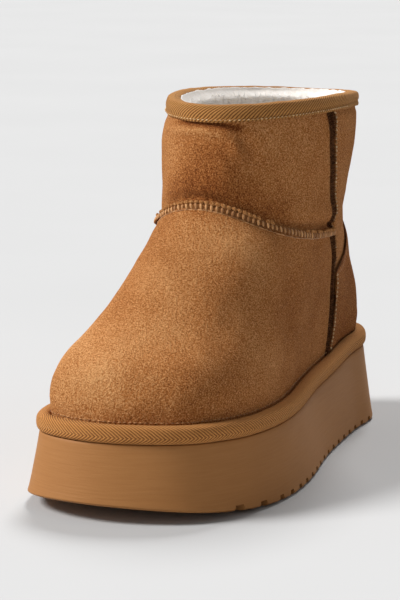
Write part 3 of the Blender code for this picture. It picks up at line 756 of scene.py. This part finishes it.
def makeInstepStitches(sizes):
    rng = random.Random(4)
    path = smoothPath(instepSeam, sizes["pitch"])
    laid = {"roll": [], "bar": [], "foot": []}
    for index in range(1, len(path) - 1):
        tangent = along(path, index)
        normal = ridgeNormal(coreSpots, path[index], tangent)
        over = normal.cross(tangent).normalized()
        over = over if over.z > 0 else -over
        for kind, matrices in laid.items():
            piece = sizes[kind]
            aside = over * (piece["over"] + rng.uniform(-0.1, 0.1)) * mm
            spot = dropped((coreTree, upperTree), path[index] + aside, normal) + normal * piece["lift"] * mm
            size = rng.uniform(0.9, 1.1)
            lay = tangent
            if kind == "bar":
                angle = math.radians(piece["slant"] + rng.uniform(-8, 8))
                lay = (over * math.cos(angle) + tangent * math.sin(angle)).normalized()
            elif kind == "roll":
                lay = (tangent + over * rng.uniform(0.0, 0.25)).normalized()
            matrices.append(facing(lay, normal, spot, (size, size, size)))
    for kind, name, thread in (("roll", "instep_edge_beads", suedeEdge),
                               ("bar", "instep_whip_stitches", tanThread),
                               ("foot", "instep_lower_thread", tanThread)):
        template = stitchTemplate(*sizes[kind]["size"], bend=sizes[kind].get("bend", 0.1))
        shades = [rng.random() for _ in laid[kind]]
        joinedCopies(name, template, laid[kind], thread, shades)


makeInstepStitches(seamSizes)
print("instep seam made")


# side seams: a furry strip of raw hide with a light row of stitches behind it

def hairTemplate(length, thick, curl):  # a thin three-sided tapering hair, bent along its length
    bm = bmesh.new()
    bmesh.ops.create_cone(bm, cap_ends=False, segments=3, radius1=thick / 2 * mm, radius2=thick / 10 * mm,
                          depth=length * mm, matrix=Matrix.Translation((0, 0, length / 2 * mm)))
    upright = [e for e in bm.edges if abs(e.verts[0].co.z - e.verts[1].co.z) > length * mm / 2]
    bmesh.ops.subdivide_edges(bm, edges=upright, cuts=2)
    for vert in bm.verts:
        share = vert.co.z / (length * mm)
        vert.co.x += curl * mm * share * share
    return bm


def stood(rng, spot, lean, sizes):  # a hair's place, turned to its lean, then sized and spun by chance
    turn = lean.normalized().to_track_quat("Z", "Y").to_matrix().to_4x4()
    size = rng.uniform(*sizes)
    spin = Matrix.Rotation(rng.uniform(0, math.tau), 4, "Z")
    return Matrix.Translation(spot) @ turn @ spin @ Matrix.Diagonal((size, size, size, 1))


def makeSideSeam(name, line, sizes, seed):
    rng = random.Random(seed)
    path = smoothPath(line, 0.5)
    matrices, shades = [], []
    for _ in range(sizes["hairs"]):
        index = rng.randrange(len(path))
        tangent = along(path, index)
        base, normal = seated(upperTree, path[index], 0)
        across = normal.cross(tangent).normalized()
        z = path[index].z / mm
        offset = rng.uniform(-1, 1) * sideAt("halfWidth", z) * (1 if across.y > 0 else -1) - sideAt("ahead", z)
        spot = dropped((upperTree, counterTree), base + Vector((0, offset * mm, 0)), normal) - normal * 0.3 * mm
        lean = normal + across * rng.uniform(-0.9, 0.9) + tangent * rng.uniform(-0.7, 0.7)
        matrices.append(stood(rng, spot, lean, (0.5, 1.4)))
        shades.append(rng.uniform(-0.35, 0.45))
    hair = hairTemplate(*sizes["hair"])
    joinedCopies(name + "_raw_hide", hair, matrices, rawHide, shades, "lay")
    stitched = smoothPath(line, sizes["stitchPitch"])
    matrices, shades = [], []
    for index in range(len(stitched)):
        tangent = along(stitched, index)
        base, normal = seated(upperTree, stitched[index], 0)
        across = normal.cross(tangent).normalized()
        back = across if across.y > 0 else -across
        z = stitched[index].z / mm
        back *= sideAt("halfWidth", z) + sizes["stitchGap"] - sideAt("ahead", z) + rng.uniform(-0.2, 0.2)
        spot = dropped((upperTree, counterTree), base + back * mm, normal) + normal * 0.3 * mm
        lay = (tangent + across * rng.uniform(0.1, 0.5)).normalized()
        matrices.append(facing(lay, normal, spot))
        shades.append(rng.random())
    stitch = stitchTemplate(*sizes["stitch"])
    joinedCopies(name + "_stitches", stitch, matrices, creamThread, shades)


makeSideSeam("outer_side_seam", outerSeam, sideSizes, 11)
makeSideSeam("inner_side_seam", innerSeam, sideSizes, 12)
print("side seams made")


# stitch rows on the binding, over the band and on the counter

rowSizes = {  # pitch along the row, a stitch's length, width, height and bend, and how far it stands out
    "binding": {"pitch": 2.25, "stitch": (1.15, 0.6, 0.65, 0.1), "lift": 0.22},
    "feather": {"pitch": 2.4, "stitch": (1.5, 0.6, 0.6, 0.1), "lift": 0.1, "overSole": 9.3},
    "counter": {"pitch": 2.6, "stitch": (1.8, 0.55, 0.5, 0.1), "lift": 0.1, "underEdge": 2.6},
}


def makeStitchRow(name, path, tree, sizes, material, seed, closed=False):
    rng = random.Random(seed)
    matrices, shades = [], []
    for index in range(len(path)):
        tangent = along(path, index, closed)
        spot, normal = seated(tree, path[index], sizes["lift"] * mm)
        tilt = (tangent + Vector((0, 0, rng.uniform(-0.08, 0.08)))).normalized()
        matrices.append(facing(tilt, normal, spot))
        shades.append(rng.random())
    joinedCopies(name, stitchTemplate(*sizes["stitch"]), matrices, material, shades)


def roundPath(tree, centre, heightOf, spacing):  # evenly spaced points round the shoe at a given height
    spots = []
    for step in range(72):  # from 250 mm out, every 5 degrees
        turn = math.tau * step / 72
        way = Vector((math.cos(turn), math.sin(turn), 0))
        start = Vector((*centre, 0)) * mm + way * 0.25
        y = start.y
        for _ in range(4):  # the height goes by the place it hits, so it settles in a few tries
            start.z = heightOf(y / mm) * mm
            hit = tree.ray_cast(start, -way)[0]
            if hit is None:
                break
            y = hit.y
        if hit is not None:
            spots.append(hit / mm)
    return smoothPath(spots, spacing, closed=True)


def bindingHeight(y):
    return heightAt(collarAt, y) + bindingSizes["stitched"] - heightAt(bindingSizes["leg"], y)


def featherHeight(y):  # just over the band
    return heightAt(soleTopAt, y) + rowSizes["feather"]["overSole"]


bindingLine = roundPath(bindingTree, (0, 40), bindingHeight, rowSizes["binding"]["pitch"])
makeStitchRow("binding_stitches", bindingLine, bindingTree, rowSizes["binding"], creamThread, 21, True)
featherLine = roundPath(upperTree, (0, 0), featherHeight, rowSizes["feather"]["pitch"])
makeStitchRow("feather_line_stitches", featherLine, upperTree, rowSizes["feather"], tanThread, 22, True)
counterLine = smoothPath(counterEdge, rowSizes["counter"]["pitch"])
counterLine = [p - Vector((0, 0, rowSizes["counter"]["underEdge"] * mm)) for p in counterLine]
makeStitchRow("counter_stitches", counterLine, counterTree, rowSizes["counter"], tanThread, 23)
print("stitch rows made")


# fleece: the CAD node's inner face, grown inward into wool, with loose curls over it

fleeceSizes = {"fineness": 3, "thick": 5.5, "start": 1.9, "rise": 4.5, "locks": 0.6, "curls": 9000,
               "roll": 4.0, "rollUp": 0.7, "tousle": 0.6, "clear": 3.0, "deepest": 130,
               "shown": 45, "dense": 3.0, "sparse": 0.8,  # the curls are thicker where the wool shows
               "curl": (1.9, 0.75, 1.2), "lip": 1.5}  # a curl's length, thickness and bend


def makeFleece(sizes):
    bm = copiedNode("upper")
    _, inner = shellSides(bm)
    keepOnly(bm, [f for group in inner for f in group])
    bm = refined(bm, sizes["fineness"])
    spots = places(bm) / mm
    push = []
    for s in spots:
        under = heightAt(collarAt, s[1]) - s[2]
        share = min(max(under / sizes["rise"], 0), 1)
        share = share * share * (3 - 2 * share)
        low = min(max((s[2] - 36) / 8, 0.3), 1)  # it thins out at the insole
        lock = noise.voronoi(Vector(s) * 0.24)[0][0] * -1.6 + 0.6  # locks of 4 mm
        curl = noise.noise(Vector(s) * 0.8) * 0.7 + noise.noise(Vector(s) * 0.35)  # curls of 1.3 and 3 mm
        push.append((sizes["start"] + sizes["thick"] * share * low + sizes["locks"] * (lock + curl) * share) * mm)
    pushed(bm, push)
    bm.normal_update()
    for vert, s in zip(bm.verts, spots):  # the wool rolls up over the rim's inner half
        near = max(0.0, 1 - (heightAt(collarAt, s[1]) - s[2]) / sizes["roll"])
        vert.co.z += near * (sizes["rollUp"] + noise.noise(Vector(s) * 0.3) * sizes["tousle"]) * mm
    return bm


bm = makeFleece(fleeceSizes)
fleeceSpots = [(f.calc_center_median(), f.normal.copy(), f.calc_area()) for f in bm.faces
               if fleeceSizes["clear"] < heightAt(collarAt, f.calc_center_median().y / mm)
               - f.calc_center_median().z / mm < fleeceSizes["deepest"]]
lipped(bm, fleeceSizes["lip"])
finishPiece("fleece_lining", bm, wool)


def makeCurls(sizes):
    rng = random.Random(31)
    matrices, shades, weights = [], [], []
    total = 0.0
    for centre, _, area in fleeceSpots:
        under = heightAt(collarAt, centre.y / mm) - centre.z / mm
        total += area * (sizes["dense"] if under < sizes["shown"] else sizes["sparse"])
        weights.append(total)
    for _ in range(sizes["curls"]):
        centre, normal, _ = fleeceSpots[min(bisect.bisect(weights, rng.random() * total), len(weights) - 1)]
        lean = normal * 0.5 + Vector([rng.uniform(-0.8, 0.8) for _ in range(3)])
        matrices.append(stood(rng, centre - normal * 0.3 * mm, lean, (0.6, 1.25)))
        shades.append(rng.random())
    joinedCopies("fleece_curls", hairTemplate(*sizes["curl"]), matrices, wool, shades)


makeCurls(fleeceSizes)


insoleSizes = {"fineness": 3, "tufts": 0.8, "pile": 0.8}


def makeInsole(sizes):
    bm = refined(copiedNode("insole"), sizes["fineness"])
    bm.normal_update()
    spots = places(bm) / mm
    push = []
    for s, vert in zip(spots, bm.verts):
        up = max(0.0, vert.normal.z)
        tufts = noise.noise(Vector(s) * 0.5) * sizes["tufts"] + noise.noise(Vector(s) * 0.2)  # 2 and 5 mm
        push.append((tufts + sizes["pile"]) * up * mm)
    pushed(bm, push)
    return bm


finishPiece("fleece_insole", makeInsole(insoleSizes), wool, replaces=("insole",))
print("fleece made")


# sole: the CAD node's side wall made fine, its lip rounded and its tread cut again

soleSizes = {
    "fineness": 2, "lip": 2.0, "overGroove": 3.2, "grooveHeight": 3.2, "splay": 0.8,
    "toeGrooves": ((-96.7, 4.4), (-81.1, 4.4)), "firstGroove": -65.5, "pitch": 10.9, "groove": 3.2, "last": 98.5,
    "length": 272.0, "springLength": 84.0, "spring": 8.0,
    "wallHeight": 18, "ledge": 0.5, "ledgeRise": 0.15, "shelf": 5,
    "cutFrom": -132, "cutStep": 6, "barLength": 160,
}


def floorLift(y):
    share = max(0.0, 1 - (soleSizes["length"] / 2 + y) / soleSizes["springLength"])
    return soleSizes["spring"] * share * share


def borderLoops(bm):  # the open borders of a ring of faces, the lower one first
    edges = [e for e in bm.edges if len(e.link_faces) == 1]
    loops = []
    while edges:
        loop, queue = set(), [edges[0]]
        while queue:
            edge = queue.pop()
            if edge in loop:
                continue
            loop.add(edge)
            queue += [e for v in edge.verts for e in v.link_edges if len(e.link_faces) == 1 and e not in loop]
        loops.append(list(loop))
        edges = [e for e in edges if e not in loop]
    return sorted(loops, key=lambda loop: sum(e.verts[0].co.z for e in loop) / len(loop))


def grown(bm, edges, move):  # a new row of faces from a border, each new vertex moved by a rule
    made = bmesh.ops.extrude_edge_only(bm, edges=edges)["geom"]
    fresh = [item for item in made if isinstance(item, bmesh.types.BMVert)]
    known = set(fresh)
    moves = []
    for vert in fresh:
        old = next(e.other_vert(vert) for e in vert.link_edges
                   if e.other_vert(vert) not in known and e.calc_length() < 1e-7)
        moves.append((vert, move(old)))
    for vert, step in moves:
        vert.co += step
    return [item for item in made if isinstance(item, bmesh.types.BMEdge)
            and item.verts[0] in known and item.verts[1] in known]


def outwardAt(vert):  # level direction out of the sole
    edges = [e for e in vert.link_edges if abs(e.verts[0].co.z - e.verts[1].co.z) < 1.5 * mm]
    run = (edges[0].other_vert(vert).co - edges[-1].other_vert(vert).co) if len(edges) > 1 else Vector((0, 1, 0))
    out = Vector((run.y, -run.x, 0)).normalized()
    centre = Vector((0, max(-80 * mm, min(80 * mm, vert.co.y)), 0))
    return out if out.dot(vert.co - centre) > 0 else -out


def makeSole(sizes):
    bm = copiedNode("platform_sole")
    bm.normal_update()
    wall = [f for f in bm.faces if abs(f.normal.z) < 0.5
            and max(v.co.z for v in f.verts) - min(v.co.z for v in f.verts) > sizes["wallHeight"] * mm]
    keepOnly(bm, wall)
    low, high = borderLoops(bm)

    def downWall(old):
        top = max((e.other_vert(old) for e in old.link_edges), key=lambda v: v.co.z)
        slope = (old.co - top.co).normalized()
        return slope * (sizes["overGroove"] * mm / -slope.z)

    loop = grown(bm, low, downWall)
    lip = sizes["lip"] * mm
    for inward, down in ((0.0, 0.35), (0.3, 0.35), (0.7, 0.3)):  # the lip turns under
        loop = grown(bm, loop, lambda old: -outwardAt(old) * inward * lip - Vector((0, 0, down * lip)))
    rise = Vector((0, 0, sizes["ledgeRise"] * mm))  # the top edge is eased, and runs in under the band
    top = grown(bm, high, lambda old: -outwardAt(old) * sizes["ledge"] * mm + rise)
    grown(bm, top, lambda old: -outwardAt(old) * sizes["shelf"] * mm)
    bmesh.ops.recalc_face_normals(bm, faces=bm.faces)
    bm = refined(bm, sizes["fineness"])
    for loop in borderLoops(bm):
        bmesh.ops.contextual_create(bm, geom=loop)
    for place in range(sizes["cutFrom"], 0, sizes["cutStep"]):  # the underside follows the toe spring
        bmesh.ops.bisect_plane(bm, geom=bm.verts[:] + bm.edges[:] + bm.faces[:],
                               plane_co=(0, place * mm, 0), plane_no=(0, 1, 0))
    bmesh.ops.triangulate(bm, faces=[f for f in bm.faces if len(f.verts) > 4])
    bmesh.ops.recalc_face_normals(bm, faces=bm.faces)
    cutter = bmesh.new()
    grooves = list(sizes["toeGrooves"])
    place = sizes["firstGroove"]
    while place < sizes["last"]:
        grooves.append((place, sizes["groove"]))
        place += sizes["pitch"]
    for place, width in grooves:
        bar = bmesh.ops.create_cube(cutter, size=1)["verts"]
        bmesh.ops.scale(cutter, verts=bar,
                        vec=(sizes["barLength"] * mm, width * mm, sizes["grooveHeight"] * 2 * mm))
        spread = 1 + 4 * sizes["splay"] / width
        bmesh.ops.scale(cutter, vec=(1, spread, 1), verts=[v for v in bar if v.co.z < 0])
        bmesh.ops.translate(cutter, vec=(0, place * mm, floorLift(place) * mm), verts=bar)
    holders = []
    for name, source in (("sole", bm), ("grooves", cutter)):
        mesh = bpy.data.meshes.new(name)
        source.to_mesh(mesh)
        source.free()
        holders.append(bpy.data.objects.new(name, mesh))
        scene.collection.objects.link(holders[-1])
    cut = holders[0].modifiers.new("tread", "BOOLEAN")
    cut.operation = "DIFFERENCE"
    cut.solver = "EXACT"
    cut.object = holders[1]
    made = evaluated(holders[0])
    for holder in holders:
        bpy.data.objects.remove(holder)
    return made


finishPiece("foam_platform_sole", makeSole(soleSizes), foam, replaces=("platform_sole",), sharpAngle=35)
print("sole made")


# floor, light and camera

floorBm = bmesh.new()
bmesh.ops.create_grid(floorBm, x_segments=4, y_segments=4, size=12)  # 24 m wide
floorMesh = bpy.data.meshes.new("studio_floor")
floorBm.to_mesh(floorMesh)
floorBm.free()
floorMesh.materials.append(paperMaterial())
studioFloor = bpy.data.objects.new("studio_floor", floorMesh)
scene.collection.objects.link(studioFloor)

lightSizes = {
    "key": {"from": (-0.72, -0.46, 0.76), "strength": 3.65, "angle": 20},
    "fill": {"from": (0.40, -0.85, 0.45), "strength": 0.15, "angle": 50},
    "back": {"from": (-0.12, 0.57, 0.81), "strength": 2.45, "angle": 18},
    "room": {"colour": "FFFFFF", "strength": 0.245},
}
for name in ("key", "fill", "back"):
    sizes = lightSizes[name]
    light = bpy.data.lights.new(name, "SUN")
    light.energy = sizes["strength"]
    light.angle = math.radians(sizes["angle"])
    lamp = bpy.data.objects.new(name, light)
    lamp.rotation_euler = Vector(sizes["from"]).to_track_quat("Z", "Y").to_euler()
    scene.collection.objects.link(lamp)
world = bpy.data.worlds.new("studio")
world.use_nodes = True
background = world.node_tree.nodes["Background"]
background.inputs["Color"].default_value = hexColour(lightSizes["room"]["colour"])
background.inputs["Strength"].default_value = lightSizes["room"]["strength"]
scene.world = world
scene.view_settings.view_transform = "Standard"

cameraSizes = {"place": (445.65, -975.7, 280.2), "down": 10.56, "round": 25.384, "lens": 131.51}
view = bpy.data.cameras.new("camera")
view.sensor_fit = "VERTICAL"
view.sensor_height = 36
view.lens = cameraSizes["lens"]
camera = bpy.data.objects.new("camera", view)
camera.location = Vector(cameraSizes["place"]) * mm
camera.rotation_euler = (math.radians(90 - cameraSizes["down"]), 0, math.radians(cameraSizes["round"]))
scene.collection.objects.link(camera)
scene.camera = camera
print("studio made")
